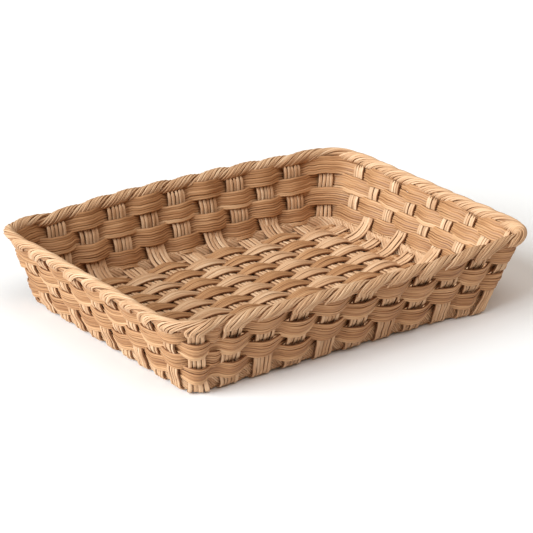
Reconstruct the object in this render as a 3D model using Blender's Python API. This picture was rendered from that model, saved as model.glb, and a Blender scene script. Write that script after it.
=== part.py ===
"""Rectangular woven bread basket with flared walls, a rolled rim and a flat foot border.

Every stake and weaver is a flat band of side-by-side strands, modelled as one band:
- nine cross stakes run along Y over the floor and up the two long walls,
- nine long stakes run along X over the floor and up the two short walls,
- nine floor weavers lie between the long stakes and end at the foot border,
- four corner stakes stand in the corners,
- four weaver rows run in and out of all forty stakes, round the walls,
- a rim border closes the top and a foot border carries the basket.

Metres, +Z up. The origin is on the resting plane, under the middle of the basket.
"""
import math

import bmesh
import bpy
from mathutils import Vector

# ---- overall size ----
RIM_LENGTH = 0.400            # outside, along X
RIM_WIDTH = 0.300             # outside, along Y
HEIGHT = 0.075
WALL_LEAN = 0.027             # how far each wall comes in from the rim to the base
RIM_CORNER_RADIUS = 0.036
BASE_CORNER_RADIUS = 0.020
LONG_WALL_BOW = 0.007         # outward bow of the long walls at the rim, nothing at the base
WALL_MID_DEPTH = 0.0053       # from the wall's outer face to the middle of its stakes

# ---- bands ----
GAP = 0.00035                 # between bands that cross
STAKE_THICKNESS = 0.0030
WEAVER_THICKNESS = 0.0032
WEAVE_OFFSET = STAKE_THICKNESS / 2 + GAP + WEAVER_THICKNESS / 2
EDGE_ROOM = 0.001             # how far past a stake's edge a weaver starts to turn

# ---- stakes ----
CROSS_STAKES = 9
CROSS_PITCH = 0.033
CROSS_RIM_PITCH = 0.0338
FRONT_RIM_SHIFT = -0.010      # the front wall's stakes lean towards -X on their way up
CROSS_WIDTH = 0.019
LONG_STAKES = 9
LONG_WIDTH = 0.011
LONG_RIM_PITCH = 0.027
LONG_RIM_CENTRE = -0.0075     # the short walls' stakes sit a little towards -Y
CORNER_WIDTH = 0.013
CORNER_ANGLE = math.radians(62)         # where a corner stake stands on the corner's arc
FRONT_RIGHT_ANGLE = math.radians(86)    # this one stands nearly in the front wall
STAKE_TOP = 0.0658
BEND_RADIUS = 0.012           # where a stake turns up from the floor into the wall
BEND_STEPS = 3

# ---- floor ----
FLOOR_HEIGHT = 0.0070         # middle of the cross stakes on the floor
FLOOR_BANDS = 18              # long stakes and floor weavers, in turn
FLOOR_PITCH = 0.0118
FLOOR_LEVEL_X = 0.155         # past here the bands along X lie level with the cross stakes
FLOOR_WEAVER_END = 0.166

# ---- weaver rows, from the rim down ----
ROW_HEIGHTS = [0.0590, 0.0464, 0.0338, 0.0212]
ROW_RISE = 0.0120             # height of a row's band

# ---- borders ----
RIM_CENTRE_HEIGHT = 0.0710
RIM_HALF_WIDTH = 0.0065
RIM_HALF_HEIGHT = HEIGHT - RIM_CENTRE_HEIGHT
RIM_SIDES = 8
FOOT_HEIGHT = 0.0052
FOOT_WIDTH = 0.0115
ARC_STEPS = 6
BOW_STEPS = 6

# ---- colours: base colour and roughness of each finish ----
FINISHES = {
    "stake_strands": ((0.58, 0.35, 0.19, 1.0), 0.62),
    "weaver_strands": ((0.55, 0.33, 0.17, 1.0), 0.62),
    "border_strands": ((0.62, 0.38, 0.21, 1.0), 0.60),
}

OUTSIDE, INSIDE = 1, -1
UP = Vector((0, 0, 1))


def clear_scene():
    for item in list(bpy.data.objects):
        bpy.data.objects.remove(item, do_unlink=True)


def make_finish(name):
    colour, roughness = FINISHES[name]
    finish = bpy.data.materials.new(name)
    finish.use_nodes = True
    shader = finish.node_tree.nodes["Principled BSDF"]
    shader.inputs["Base Color"].default_value = colour
    shader.inputs["Roughness"].default_value = roughness
    shader.inputs["Metallic"].default_value = 0.0
    return finish


def skin(name, loops, closed, finish):
    """One closed body through a list of equal loops of points."""
    mesh = bmesh.new()
    rings = [[mesh.verts.new(point) for point in loop] for loop in loops]
    sides = len(loops[0])
    following = rings[1:] + rings[:1] if closed else rings[1:]
    for ring, after in zip(rings, following):
        for corner in range(sides):
            beside = (corner + 1) % sides
            mesh.faces.new((ring[corner], ring[beside], after[beside], after[corner]))
    if not closed:
        mesh.faces.new(rings[0])
        mesh.faces.new(rings[-1])
    bmesh.ops.recalc_face_normals(mesh, faces=mesh.faces)
    data = bpy.data.meshes.new(name)
    mesh.to_mesh(data)
    mesh.free()
    data.materials.append(finish)
    item = bpy.data.objects.new(name, data)
    bpy.context.scene.collection.objects.link(item)
    return item


def band_loop(centre, half_width, half_thickness):
    """A band's four corners; the two half sizes are vectors."""
    return [
        centre + half_width + half_thickness,
        centre - half_width + half_thickness,
        centre - half_width - half_thickness,
        centre + half_width - half_thickness,
    ]


def band_along(path, width_axis, width, thickness):
    """Loops of an open band that follows a path, as thick on its bends as on its runs."""
    loops = []
    for index, point in enumerate(path):
        before = point - path[index - 1] if index > 0 else path[1] - point
        after = path[index + 1] - point if index < len(path) - 1 else before
        before, after = before.normalized(), after.normalized()
        normal = width_axis.cross(before + after).normalized()
        mitre = width_axis.cross(before).normalized().dot(normal)
        loops.append(band_loop(point, width_axis * width / 2, normal * thickness / 2 / mitre))
    return loops


# ---- outline of the basket ----
def outline(height):
    """Half length, half width, corner radius and long-wall bow of the outer face."""
    rise = height / HEIGHT
    half_length = RIM_LENGTH / 2 - WALL_LEAN * (1 - rise)
    half_width = RIM_WIDTH / 2 - WALL_LEAN * (1 - rise)
    radius = BASE_CORNER_RADIUS + (RIM_CORNER_RADIUS - BASE_CORNER_RADIUS) * rise
    return half_length, half_width, radius, LONG_WALL_BOW * rise


def corner_point(height, sign_x, sign_y, angle, depth):
    """A point on a corner's arc; the angle is measured from the X axis."""
    half_length, half_width, radius, bow = outline(height)
    return Vector((
        sign_x * (half_length - radius + (radius - depth) * math.cos(angle)),
        sign_y * (half_width - bow - radius + (radius - depth) * math.sin(angle)),
        height,
    ))


def long_wall_point(height, sign_y, x, depth):
    half_length, half_width, radius, bow = outline(height)
    share = x / (half_length - radius)
    return Vector((x, sign_y * (half_width - bow * share ** 2 - depth), height))


def short_wall_point(height, sign_x, y, depth):
    """A point on a short wall, or on its corners' arcs past the straight stretch."""
    half_length, half_width, radius, bow = outline(height)
    past = abs(y) - (half_width - bow - radius)
    inner = radius - depth
    drop = inner - math.sqrt(inner ** 2 - past ** 2) if past > 0 else 0
    return Vector((sign_x * (half_length - depth - drop), y, height))


def border_path(height, depth):
    """Points round the basket with their outward directions, counter-clockwise."""
    points = []
    half_length, _, radius, bow = outline(height)
    straight = half_length - radius
    quarter = math.pi / 2
    for sign_x, sign_y in ((1, -1), (1, 1), (-1, 1), (-1, -1)):
        for step in range(ARC_STEPS + 1):
            share = step / ARC_STEPS
            forward = sign_x * sign_y > 0
            angle = quarter * (share if forward else 1 - share)
            outward = Vector((sign_x * math.cos(angle), sign_y * math.sin(angle), 0))
            points.append((corner_point(height, sign_x, sign_y, angle, depth), outward))
        if sign_x == sign_y:
            for step in range(1, BOW_STEPS):
                x = sign_x * straight * (1 - 2 * step / BOW_STEPS)
                slope = 2 * bow * x / straight ** 2
                outward = Vector((slope, sign_y, 0)).normalized()
                points.append((long_wall_point(height, sign_y, x, depth), outward))
    return points


# ---- stakes' places in the walls ----
class Site:
    """A stake's straight line up a wall, and the direction that the weavers pass it in."""

    def __init__(self, base, rim, along, half_width, first_row_side):
        self.base = base
        self.rim = rim
        self.along = along
        self.half_width = half_width
        self.first_row_side = first_row_side
        self.up = (rim - base).normalized()
        self.outward = along.cross(self.up).normalized()

    def at(self, height):
        return self.base.lerp(self.rim, height / HEIGHT)

    def side_in_row(self, row):
        return self.first_row_side if row % 2 == 0 else -self.first_row_side


def cross_x(index, pitch):
    return (index - (CROSS_STAKES - 1) / 2) * pitch


def long_y(index):
    """A long stake's place on the floor; the stakes are every second floor band."""
    return floor_band_y(2 * index)


def floor_band_y(index):
    return (index - (FLOOR_BANDS - 1) / 2) * FLOOR_PITCH


def long_rim_y(index):
    return LONG_RIM_CENTRE + (index - (LONG_STAKES - 1) / 2) * LONG_RIM_PITCH


def alternate(index, even_side):
    return even_side if index % 2 == 0 else -even_side


def cross_site(index, sign_y):
    base = long_wall_point(0, sign_y, cross_x(index, CROSS_PITCH), WALL_MID_DEPTH)
    shift = FRONT_RIM_SHIFT if sign_y < 0 else 0
    rim_x = cross_x(index, CROSS_RIM_PITCH) + shift
    rim = long_wall_point(HEIGHT, sign_y, rim_x, WALL_MID_DEPTH)
    side = alternate(index, INSIDE if sign_y < 0 else OUTSIDE)
    return Site(base, rim, Vector((-sign_y, 0, 0)), CROSS_WIDTH / 2, side)


def long_site(index, sign_x):
    """The stake fans out up the wall, from its own place at the floor's height."""
    spread = long_rim_y(index) - long_y(index)
    base_y = long_y(index) - spread * FLOOR_HEIGHT / (HEIGHT - FLOOR_HEIGHT)
    base = short_wall_point(0, sign_x, base_y, WALL_MID_DEPTH)
    rim = short_wall_point(HEIGHT, sign_x, long_rim_y(index), WALL_MID_DEPTH)
    side = alternate(index, OUTSIDE)
    return Site(base, rim, Vector((0, sign_x, 0)), LONG_WIDTH / 2, side)


def corner_site(sign_x, sign_y):
    front_right = (sign_x, sign_y) == (1, -1)
    angle = FRONT_RIGHT_ANGLE if front_right else CORNER_ANGLE
    base = corner_point(0, sign_x, sign_y, angle, WALL_MID_DEPTH)
    rim = corner_point(HEIGHT, sign_x, sign_y, angle, WALL_MID_DEPTH)
    outward = Vector((sign_x * math.cos(angle), sign_y * math.sin(angle), 0))
    side = OUTSIDE if front_right else INSIDE
    return Site(base, rim, UP.cross(outward), CORNER_WIDTH / 2, side)


def ring_of_sites():
    """All forty stakes, counter-clockwise from the corner at -X, -Y."""
    ring = [corner_site(-1, -1)]
    ring += [cross_site(index, -1) for index in range(CROSS_STAKES)]
    ring.append(corner_site(1, -1))
    ring += [long_site(index, 1) for index in range(LONG_STAKES)]
    ring.append(corner_site(1, 1))
    ring += [cross_site(index, 1) for index in reversed(range(CROSS_STAKES))]
    ring.append(corner_site(-1, 1))
    ring += [long_site(index, -1) for index in reversed(range(LONG_STAKES))]
    return ring


# ---- bands ----
def turn_up(site, inward):
    """Points from the floor, round the bend, to the top of a stake in its wall."""
    corner = site.at(FLOOR_HEIGHT)
    climb = math.acos(max(-1.0, min(1.0, -inward.dot(site.up))))
    reach = BEND_RADIUS * math.tan(climb / 2)
    centre = corner + inward * reach + UP * BEND_RADIUS
    points = []
    for step in range(BEND_STEPS):
        angle = climb * step / BEND_STEPS
        points.append(centre - UP * BEND_RADIUS * math.cos(angle)
                      - inward * BEND_RADIUS * math.sin(angle))
    points.append(corner + site.up * reach)
    points.append(site.at(STAKE_TOP))
    return points


def make_cross_stake(index, finish):
    front = turn_up(cross_site(index, -1), Vector((0, 1, 0)))
    back = turn_up(cross_site(index, 1), Vector((0, -1, 0)))
    path = list(reversed(front)) + back
    loops = band_along(path, Vector((1, 0, 0)), CROSS_WIDTH, STAKE_THICKNESS)
    skin(f"cross_stake_{index + 1:02d}", loops, False, finish)


def floor_run(band):
    """A floor band's path over and under the cross stakes, from -X to +X."""
    y = floor_band_y(band)
    turn = CROSS_WIDTH / 2 + EDGE_ROOM
    path = [Vector((-FLOOR_LEVEL_X, y, FLOOR_HEIGHT))]
    for index in range(CROSS_STAKES):
        side = 1 if (index + band) % 2 == 0 else -1
        height = FLOOR_HEIGHT + side * WEAVE_OFFSET
        for step in (-turn, turn):
            path.append(Vector((cross_x(index, CROSS_PITCH) + step, y, height)))
    path.append(Vector((FLOOR_LEVEL_X, y, FLOOR_HEIGHT)))
    return path


def make_long_stake(index, finish):
    left = turn_up(long_site(index, -1), Vector((1, 0, 0)))
    right = turn_up(long_site(index, 1), Vector((-1, 0, 0)))
    path = list(reversed(left)) + floor_run(2 * index) + right
    loops = band_along(path, Vector((0, 1, 0)), LONG_WIDTH, STAKE_THICKNESS)
    skin(f"long_stake_{index + 1:02d}", loops, False, finish)


def make_floor_weaver(index, finish):
    run = floor_run(2 * index + 1)
    end = Vector((FLOOR_WEAVER_END, run[0].y, FLOOR_HEIGHT))
    start = Vector((-end.x, end.y, end.z))
    loops = band_along([start] + run + [end], Vector((0, 1, 0)), LONG_WIDTH, STAKE_THICKNESS)
    skin(f"floor_weaver_{index + 1:02d}", loops, False, finish)


def make_corner_stake(name, sign_x, sign_y, finish):
    site = corner_site(sign_x, sign_y)
    half_width = site.along * site.half_width
    half_thickness = site.outward * STAKE_THICKNESS / 2
    ends = (FOOT_HEIGHT + 3 * GAP, STAKE_TOP)
    loops = [band_loop(site.at(height), half_width, half_thickness) for height in ends]
    skin(name, loops, False, finish)


def make_weaver_row(row, ring, finish):
    loops = []
    for site in ring:
        half_width = site.up * ROW_RISE / 2 / site.up.z
        half_thickness = site.outward * WEAVER_THICKNESS / 2
        offset = site.outward * WEAVE_OFFSET * site.side_in_row(row)
        centre = site.at(ROW_HEIGHTS[row]) + offset
        turn = site.along * (site.half_width + EDGE_ROOM)
        for point in (centre - turn, centre + turn):
            loops.append(band_loop(point, half_width, half_thickness))
    skin(f"weaver_row_{row + 1}", loops, True, finish)


def make_rim_border(finish):
    loops = []
    for centre, outward in border_path(HEIGHT, RIM_HALF_WIDTH):
        middle = Vector((centre.x, centre.y, RIM_CENTRE_HEIGHT))
        loop = []
        for corner in range(RIM_SIDES):
            angle = 2 * math.pi * corner / RIM_SIDES
            loop.append(middle + outward * RIM_HALF_WIDTH * math.cos(angle)
                        + UP * RIM_HALF_HEIGHT * math.sin(angle))
        loops.append(loop)
    skin("rim_border", loops, True, finish)


def make_foot_border(finish):
    loops = []
    for centre, outward in border_path(0, FOOT_WIDTH / 2):
        middle = centre + UP * FOOT_HEIGHT / 2
        loops.append(band_loop(middle, outward * FOOT_WIDTH / 2, UP * FOOT_HEIGHT / 2))
    skin("foot_border", loops, True, finish)


def build_basket():
    clear_scene()
    stakes, weavers, borders = (make_finish(name) for name in FINISHES)
    for index in range(CROSS_STAKES):
        make_cross_stake(index, stakes)
    for index in range(LONG_STAKES):
        make_long_stake(index, stakes)
        make_floor_weaver(index, weavers)
    make_corner_stake("corner_stake_front_left", -1, -1, stakes)
    make_corner_stake("corner_stake_front_right", 1, -1, stakes)
    make_corner_stake("corner_stake_back_right", 1, 1, stakes)
    make_corner_stake("corner_stake_back_left", -1, 1, stakes)
    ring = ring_of_sites()
    for row in range(len(ROW_HEIGHTS)):
        make_weaver_row(row, ring, weavers)
    make_rim_border(borders)
    make_foot_border(borders)


build_basket()
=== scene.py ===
"""Woven bread basket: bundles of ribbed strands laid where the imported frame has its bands."""
import math

import bpy
import numpy as np
from mathutils import Matrix, Vector


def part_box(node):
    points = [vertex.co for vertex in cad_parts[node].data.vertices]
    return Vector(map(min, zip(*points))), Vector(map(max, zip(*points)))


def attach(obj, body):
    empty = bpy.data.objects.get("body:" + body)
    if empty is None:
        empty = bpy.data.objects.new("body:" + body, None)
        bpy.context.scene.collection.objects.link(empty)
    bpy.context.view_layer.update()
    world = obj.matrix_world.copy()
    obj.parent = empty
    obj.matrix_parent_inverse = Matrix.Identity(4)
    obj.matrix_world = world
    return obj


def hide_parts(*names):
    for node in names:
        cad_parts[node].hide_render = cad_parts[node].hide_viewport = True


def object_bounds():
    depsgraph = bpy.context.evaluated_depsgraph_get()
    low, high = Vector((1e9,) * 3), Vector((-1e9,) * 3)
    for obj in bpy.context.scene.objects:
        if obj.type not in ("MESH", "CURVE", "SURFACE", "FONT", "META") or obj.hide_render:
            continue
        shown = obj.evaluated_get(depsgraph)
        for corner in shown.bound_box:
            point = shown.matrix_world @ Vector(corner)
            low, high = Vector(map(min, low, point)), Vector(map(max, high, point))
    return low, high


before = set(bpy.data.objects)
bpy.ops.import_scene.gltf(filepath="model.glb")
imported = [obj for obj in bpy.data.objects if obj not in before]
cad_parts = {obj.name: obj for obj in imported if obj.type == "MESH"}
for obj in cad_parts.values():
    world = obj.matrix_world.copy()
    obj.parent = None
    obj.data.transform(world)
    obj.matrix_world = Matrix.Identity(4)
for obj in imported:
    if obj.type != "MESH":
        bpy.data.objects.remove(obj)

CAD_BOUNDS = [list(corner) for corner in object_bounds()]
RNG = np.random.default_rng(41)
UP = np.array([0.0, 0.0, 1.0])

# ---- the basket's shape, from the frame ----
HALF_RIM = np.array(CAD_BOUNDS[1][:2])
HEIGHT = CAD_BOUNDS[1][2]
HALF_BASE = np.array(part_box("foot_border")[1][:2])
RIM_RADIUS, BASE_RADIUS = 0.036, 0.020             # of the corners
BOW = 0.007                        # how far the long walls' middles stand out at the rim
MID_DEPTH = 0.0053                 # from a wall's outer face to the middle of its stakes
LEAN = math.atan((HALF_RIM[0] - HALF_BASE[0]) / HEIGHT)
OUTSIDE, INSIDE = 1, -1

# ---- where the photographed basket isn't regular ----
CORNER_SHIFT = np.array([-0.017, -0.008, 0.0])     # of the front right corner's foot
CORNER_X, CORNER_REACH_X = 0.085, 0.088            # where it begins, and over how far it grows
CORNER_Y, CORNER_REACH_Y = 0.010, 0.113
CORNER_FADE = 1.3                  # power by which it fades upwards
RIM_SAG = 0.0028                   # of the rim near the back left corner
SAG_X, SAG_WIDTH = -0.130, 0.042
SAG_Y, SAG_REACH_Y = 0.06, 0.06
BACK_DROP = 0.0014                 # how much further apart the rows are on the back wall
BACK_Y = 0.11                      # from where the back wall's own measures hold in full

# ---- strands ----
STRAND_THICKNESS = 0.0025
STEP = 0.0030                      # between the rings of points along a strand
# a strand's section, from one edge over its top and back underneath: (across, up) shares
PROFILE = np.array([
    (-1.0, 0.0), (-0.84, 0.66), (-0.45, 0.98), (0.0, 0.50), (0.45, 0.98), (0.84, 0.66),
    (1.0, 0.0), (0.84, -0.66), (0.45, -0.98), (0.0, -0.50), (-0.45, -0.98), (-0.84, -0.66),
])
# painted shade: how light its colour is at each of these points, darkest at its edges and middle
# line
GROOVE_SHADE_LEVELS = np.array([0.0, 0.66, 1.0, 0.08, 1.0, 0.66, 0.0, 0.66, 1.0, 0.08, 1.0, 0.66])
SIDES = len(PROFILE)
# the same heights and painted shade levels without the line in the middle of a strand
FLAT_PROFILE = np.array([0.0, 0.66, 0.94, 1.0, 0.94, 0.66, 0.0, -0.66, -0.94, -1.0, -0.94, -0.66])
FLAT_GROOVE_SHADE_LEVELS = np.array([0.0, 0.70, 1.0, 1.0, 1.0, 0.70, 0.0, 0.70, 1.0, 1.0, 1.0, 0.70])
END_WIDTH, END_THICKNESS = 0.55, 0.45              # shares left at a strand's cut ends
FACE_OFFSET = 0.004                # keeps the streaks on a strand's two faces apart
STREAK_PLACES = 40                 # each strand takes its streaks from its own place up to this
WIDTH_RANGE, RIB_RANGE = (1.0, 1.14), (0.45, 1.0)  # shares that vary from strand to strand
TONE_SPREAD = 0.13
STAGGER = 0.00022                  # how far a bundle's strands lie down and up by turns
SQUEEZE_SWELL = 0.25               # how much thicker they get as their bundle gets narrower
DRIFT_LENGTH, LIFT_LENGTH, TWIST_LENGTH = 0.13, 0.10, 0.10     # of a wobble's wave
WANDER, FILL = 0.00022, 1.07       # usual size of the wobbles, and width as a share of the room
LIFT_SHARE, TWIST = 0.7, 0.10
WAVES = ((1.0, 1.0), (0.6, 1.9), (0.35, 3.3))      # (weight, frequency) of a wobble's three waves
WAVE_RANGE = (0.75, 1.25)          # shares by which their frequencies vary
USUAL_CREST = 1.3                  # about what the three add up to
STAKE_RIB = 0.35


def unit(vectors):
    return vectors / np.linalg.norm(vectors, axis=-1, keepdims=True)


def dot(first, second):
    return np.sum(first * second, axis=-1, keepdims=True)


def tangents(points, closed):
    if closed:
        return unit(np.roll(points, -1, axis=0) - np.roll(points, 1, axis=0))
    return unit(np.gradient(points, axis=0))


def travel_of(points):
    steps = np.linalg.norm(np.diff(points, axis=0), axis=1)
    return np.concatenate([[0.0], np.cumsum(steps)])


def wobble(share, cycles, size, closed):
    """Smooth irregular offset along a strand; share runs from 0 to 1."""
    value = np.zeros_like(share)
    for weight, factor in WAVES:
        turns = cycles * factor * RNG.uniform(*WAVE_RANGE)
        if closed:
            turns = max(1, round(turns))
        value += weight * np.sin(2 * math.pi * (turns * share + RNG.random()))
    return size * value / USUAL_CREST


def resample(points):
    """Evenly spaced points on a smooth curve that follows the given ones."""
    fine_step, reach = 0.0008, 4       # the curve is smoothed over this many steps to each side
    travel = travel_of(points)
    fine = np.linspace(0, travel[-1], max(4, int(travel[-1] / fine_step)))
    curve = np.stack([np.interp(fine, travel, points[:, axis]) for axis in range(3)], axis=1)
    kernel = np.hanning(2 * reach + 3)[1:-1]
    kernel /= kernel.sum()
    padded = np.concatenate([
        2 * curve[0] - curve[reach:0:-1], curve, 2 * curve[-1] - curve[-2:-reach - 2:-1]])
    curve = np.stack([np.convolve(padded[:, axis], kernel, "valid") for axis in range(3)], axis=1)
    travel = travel_of(curve)
    even = np.linspace(0, travel[-1], max(3, int(travel[-1] / STEP) + 1))
    return np.stack([np.interp(even, travel, curve[:, axis]) for axis in range(3)], axis=1)


def smoothstep(value):
    """From 0 at 0 to 1 at 1, without a corner at either, and level beyond them."""
    share = np.clip(value, 0, 1)
    return share ** 2 * (3 - 2 * share)


# ---- pieces made of strands ----
def settle(points):
    """Move points as the photographed basket has given way: the front right corner's foot
    stands further in and forward, and the rim sags near the back left corner."""
    x, y, rise = points[:, 0], points[:, 1], points[:, 2] / HEIGHT
    share = (smoothstep((x - CORNER_X) / CORNER_REACH_X)
             * smoothstep((-y - CORNER_Y) / CORNER_REACH_Y)
             * np.clip(1 - rise, 0, 1) ** CORNER_FADE)
    sag = (np.exp(-((x - SAG_X) / SAG_WIDTH) ** 2)
           * np.clip((y - SAG_Y) / SAG_REACH_Y, 0, 1) * np.clip(rise, 0, 1))
    settled = points + share[:, None] * CORNER_SHIFT
    settled[:, 2] -= RIM_SAG * sag
    return settled


def backness(y):
    """From 0 in the middle of the short walls to 1 at the back wall."""
    return smoothstep(np.asarray(y) / BACK_Y)


class Piece:
    """A mesh that collects strands, with the attributes that its material reads."""

    def __init__(self, name):
        self.name = name
        self.points, self.tones, self.grooves, self.fibres = [], [], [], []
        self.quads, self.caps = [], []
        self.count = 0

    def strand(self, centre, normal, half_width, half_thickness, tone, closed=False, twist=0.0,
               rib=1.0):
        """One flat strand along a centre line; rib runs from 0, a plain top, to 1, two ridges."""
        rings = len(centre)
        along = tangents(centre, closed)
        normal = unit(normal - along * dot(normal, along))
        side = np.cross(along, normal)
        cosine = np.broadcast_to(np.cos(twist), (rings,))[:, None]
        sine = np.broadcast_to(np.sin(twist), (rings,))[:, None]
        normal, side = normal * cosine + side * sine, side * cosine - normal * sine
        wide = np.broadcast_to(half_width, (rings,)).copy()
        thick = np.broadcast_to(half_thickness, (rings,)).copy()
        if not closed:
            wide[[0, -1]] *= END_WIDTH
            thick[[0, -1]] *= END_THICKNESS
        across = PROFILE[None, :, 0] * wide[:, None]
        over = (PROFILE[:, 1] + (FLAT_PROFILE - PROFILE[:, 1]) * (1 - rib))[None] * thick[:, None]
        points = (centre[:, None, :] + side[:, None, :] * across[:, :, None]
                  + normal[:, None, :] * over[:, :, None])
        ident = RNG.uniform(0, STREAK_PLACES)
        fibre = np.stack([
            np.broadcast_to(travel_of(centre)[:, None], across.shape),
            across + FACE_OFFSET * np.sign(over), np.full(across.shape, ident)], axis=2)
        # painted shade at the edges and in the middle groove, with less in the groove as the ribs
        # flatten
        grooves = GROOVE_SHADE_LEVELS + (FLAT_GROOVE_SHADE_LEVELS - GROOVE_SHADE_LEVELS) * (1 - rib)
        self.points.append(points.reshape(-1, 3))
        self.tones.append(np.full(rings * SIDES, tone))
        self.grooves.append(np.broadcast_to(grooves, (rings, SIDES)).ravel())
        self.fibres.append(fibre.reshape(-1, 3))
        self.add_faces(rings, closed)

    def add_faces(self, rings, closed):
        """Faces of the strand whose points were added last, with caps if it isn't closed."""
        ring = np.arange(rings if closed else rings - 1)[:, None]
        after = (ring + 1) % rings
        corner = np.arange(SIDES)[None, :]
        beside = (corner + 1) % SIDES
        quads = np.stack([ring * SIDES + corner, after * SIDES + corner,
                          after * SIDES + beside, ring * SIDES + beside], axis=2)
        self.quads.append(quads.reshape(-1, 4) + self.count)
        if not closed:
            first = np.arange(SIDES) + self.count
            self.caps += [first, (first + (rings - 1) * SIDES)[::-1]]
        self.count += rings * SIDES

    def bundle(self, centre, across, width, strands, crown=0.0, tone=0.5, closed=False,
               thickness=STRAND_THICKNESS, wander=WANDER, fill=FILL, rib=1.0):
        """Strands side by side along a centre line; across is the bundle's width direction."""
        along = tangents(centre, closed)
        normal = unit(np.cross(across, along))
        side = unit(np.cross(along, normal))
        rings = len(centre)
        width = np.broadcast_to(width, (rings,))
        crown = np.broadcast_to(crown, (rings,))
        share = np.linspace(0, 1, rings, endpoint=not closed)
        length = travel_of(centre)[-1]
        half_thickness = thickness / 2 * (1 + SQUEEZE_SWELL * (1 - width / width.max()))
        for index in range(strands):
            place = (2 * index + 1) / strands - 1
            drift = wobble(share, length / DRIFT_LENGTH, wander, closed)
            lift = wobble(share, length / LIFT_LENGTH, wander * LIFT_SHARE, closed)
            offset = place * width / 2 + drift
            rise = crown * (1 - place ** 2) + lift + (STAGGER if index % 2 else -STAGGER)
            line = centre + side * offset[:, None] + normal * rise[:, None]
            half_width = width / (2 * strands) * fill * RNG.uniform(*WIDTH_RANGE)
            twist = wobble(share, length / TWIST_LENGTH, TWIST, closed)
            own_tone = np.clip(tone + RNG.normal(0, TONE_SPREAD), 0, 1)
            own_rib = rib * RNG.uniform(*RIB_RANGE)
            self.strand(line, normal, half_width, half_thickness, own_tone, closed, twist, own_rib)

    def build(self, material, slot, *nodes):
        mesh = bpy.data.meshes.new(self.name)
        points = settle(np.concatenate(self.points)).astype(np.float32)
        quads = np.concatenate(self.quads)
        loops = quads.ravel()
        starts = np.arange(len(quads)) * 4
        if self.caps:
            caps = np.stack(self.caps)
            starts = np.concatenate([starts, len(loops) + np.arange(len(caps)) * SIDES])
            loops = np.concatenate([loops, caps.ravel()])
        mesh.vertices.add(len(points))
        mesh.vertices.foreach_set("co", points.ravel())
        mesh.loops.add(len(loops))
        mesh.loops.foreach_set("vertex_index", loops.astype(np.int32))
        mesh.polygons.add(len(starts))
        mesh.polygons.foreach_set("loop_start", starts.astype(np.int32))
        mesh.update(calc_edges=True)
        mesh.shade_smooth()
        # the painted shade levels go to the material as an attribute, with the tone and the streak
        # places
        for name, kind, key, values in (
                ("tone", "FLOAT", "value", self.tones), ("groove", "FLOAT", "value", self.grooves),
                ("fibre", "FLOAT_VECTOR", "vector", self.fibres)):
            layer = mesh.attributes.new(name, kind, "POINT")
            layer.data.foreach_set(key, np.concatenate(values).astype(np.float32).ravel())
        mesh.materials.append(material)
        item = bpy.data.objects.new(self.name, mesh)
        bpy.context.scene.collection.objects.link(item)
        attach(item, "root")
        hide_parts(*nodes)
        return item


# ---- material ----
# dark, middle and light colour of a strand, and the tint of the painted shade in its grooves and at
# its edges
COLOURS = {
    "stake_strands": ((0.31, 0.140, 0.058), (0.56, 0.318, 0.168), (0.76, 0.520, 0.326),
                      (0.27, 0.15, 0.07)),
    "weaver_strands": ((0.235, 0.090, 0.031), (0.465, 0.230, 0.100), (0.67, 0.405, 0.217),
                       (0.27, 0.15, 0.07)),
    "border_strands": ((0.31, 0.145, 0.062), (0.58, 0.335, 0.18), (0.77, 0.53, 0.335),
                       (0.58, 0.45, 0.34)),
}
DARK_STOP, MIDDLE_STOP, LIGHT_STOP = 0.18, 0.5, 0.85
# where the painted shade in the grooves is full, and where it has faded out
FULL_SHADE_STOP, NO_SHADE_STOP = 0.05, 0.82
FINE_SCALE, BROAD_SCALE = (45.0, 1500.0, 1.0), (28.0, 260.0, 1.0)      # of a strand's streaks
FINE_SHARE, BROAD_SHARE, TONE_SHARE = 0.55, 0.55, 0.45     # in the mix that chooses the colour
MIX_SHIFT = 0.27                   # brings that mix to the ramp's middle
LEAST_ROUGHNESS, MOST_ROUGHNESS = 0.50, 0.72
BUMP_STRENGTH, BUMP_DISTANCE = 0.35, 0.0004
SPECULAR = 0.35


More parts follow.
